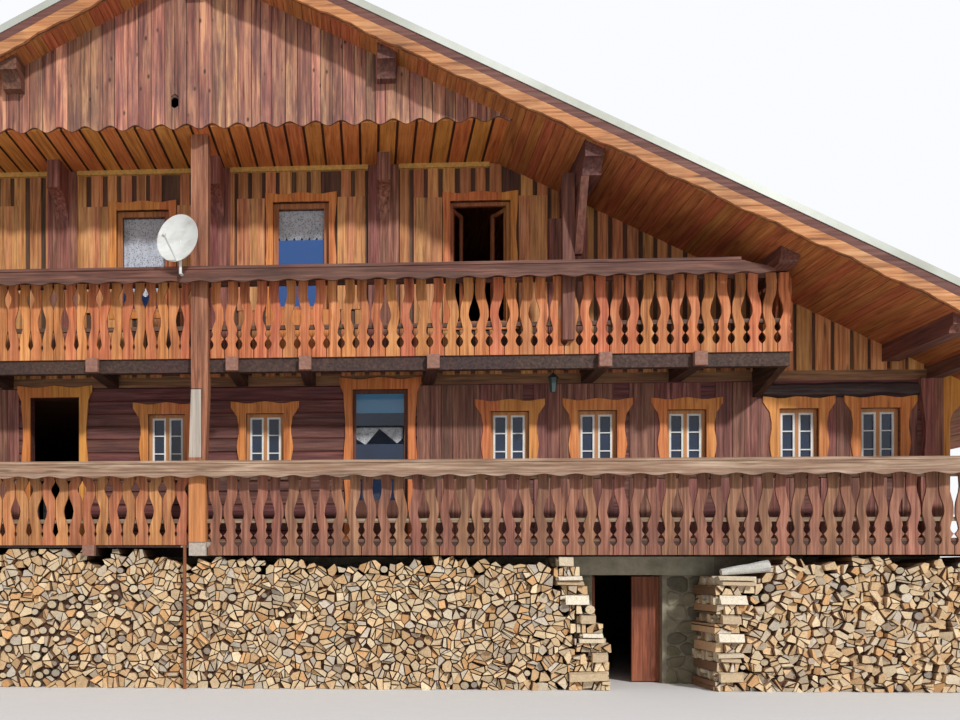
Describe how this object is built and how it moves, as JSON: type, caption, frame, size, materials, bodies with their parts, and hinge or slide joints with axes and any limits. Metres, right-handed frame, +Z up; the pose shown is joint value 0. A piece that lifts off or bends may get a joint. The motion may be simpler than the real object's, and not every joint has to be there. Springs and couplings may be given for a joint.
{
  "type": "alpine chalet",
  "caption": "Alpine chalet: stone cellar, log storey and boarded attic under one wide metal roof, fretwork balconies, stacked firewood, cellar door with two hinged leaves.",
  "frame": {"origin": "middle of the roof's plan at ground level, under the ridge", "axes": "+X to the right along the gable front, +Y from the gable front to the back along the ridge, +Z up"},
  "size_m": [25.91, 16.656, 10.8441],
  "materials": {
    "rubble_stone": "rough",
    "concrete": "rough",
    "door_planks": "satin",
    "iron": "matte",
    "floor_planks": "matte",
    "log_wood": "matte",
    "wall_boards": "matte",
    "roof_boards": "satin",
    "sheet_metal": "matte",
    "verge_wood": "matte",
    "beam_wood": "matte",
    "gable_boards": "matte",
    "post_wood": "matte",
    "fret_wood": "matte",
    "rail_wood": "matte",
    "surround_wood": "satin",
    "frame_wood": "satin",
    "glass": "clear",
    "shutter_wood": "matte",
    "dish_white": "satin",
    "lantern_green": "satin",
    "firewood": "matte",
    "rusty_steel": "matte"
  },
  "bodies": {
    "root": {"cellar_wall_front_left": "rubble_stone", "cellar_wall_front_right": "rubble_stone", "cellar_lintel": "concrete", "cellar_wall_left": "rubble_stone", "cellar_wall_right": "rubble_stone", "cellar_wall_back": "rubble_stone", "door_pintles": "iron", "middle_floor": "floor_planks", "middle_wall_front": "log_wood", "middle_wall_left": "log_wood", "middle_wall_right": "log_wood", "middle_wall_back": "log_wood", "upper_floor": "floor_planks", "upper_wall_front": "wall_boards", "upper_wall_back": "wall_boards", "roof_left": "roof_boards", "roof_right": "roof_boards", "roof_covering": "sheet_metal", "verge_boards": "verge_wood", "purlins": "beam_wood", "gable_boarding": "gable_boards", "gable_ceiling": "roof_boards", "wall_consoles": "beam_wood", "centre_post": "post_wood", "side_posts": "beam_wood", "upper_balcony_deck": "floor_planks", "upper_balcony_joists": "beam_wood", "upper_balustrade_left": "fret_wood", "upper_balustrade_right": "fret_wood", "upper_balcony_rails": "rail_wood", "lower_balcony_deck": "floor_planks", "lower_balcony_joists": "beam_wood", "lower_balustrade_left": "fret_wood", "lower_balustrade_right": "fret_wood", "lower_balcony_rails": "rail_wood", "window_surrounds": "surround_wood", "gallery_arches": "surround_wood", "window_frames": "frame_wood", "middle_glazing": "glass", "upper_glazing": "glass", "shutters": "shutter_wood", "satellite_dish": "dish_white", "lantern": "lantern_green", "woodpile_left": "firewood", "woodpile_right": "firewood", "stack_pole": "rusty_steel"},
    "left_leaf": {"cellar_door_left": "door_planks"},
    "right_leaf": {"cellar_door_right": "door_planks"}
  },
  "joints": [
    {"name": "cellar_door_left_hinge", "type": "hinge", "parent": "root", "child": "left_leaf", "pos_m": [5.956, -6.064, 0], "axis": [0, 0, 1], "range_deg": [-78, 12]},
    {"name": "cellar_door_right_hinge", "type": "hinge", "parent": "root", "child": "right_leaf", "pos_m": [6.984, -6.064, 0], "axis": [0, 0, 1], "range_deg": [-90, 0]}
  ]
}
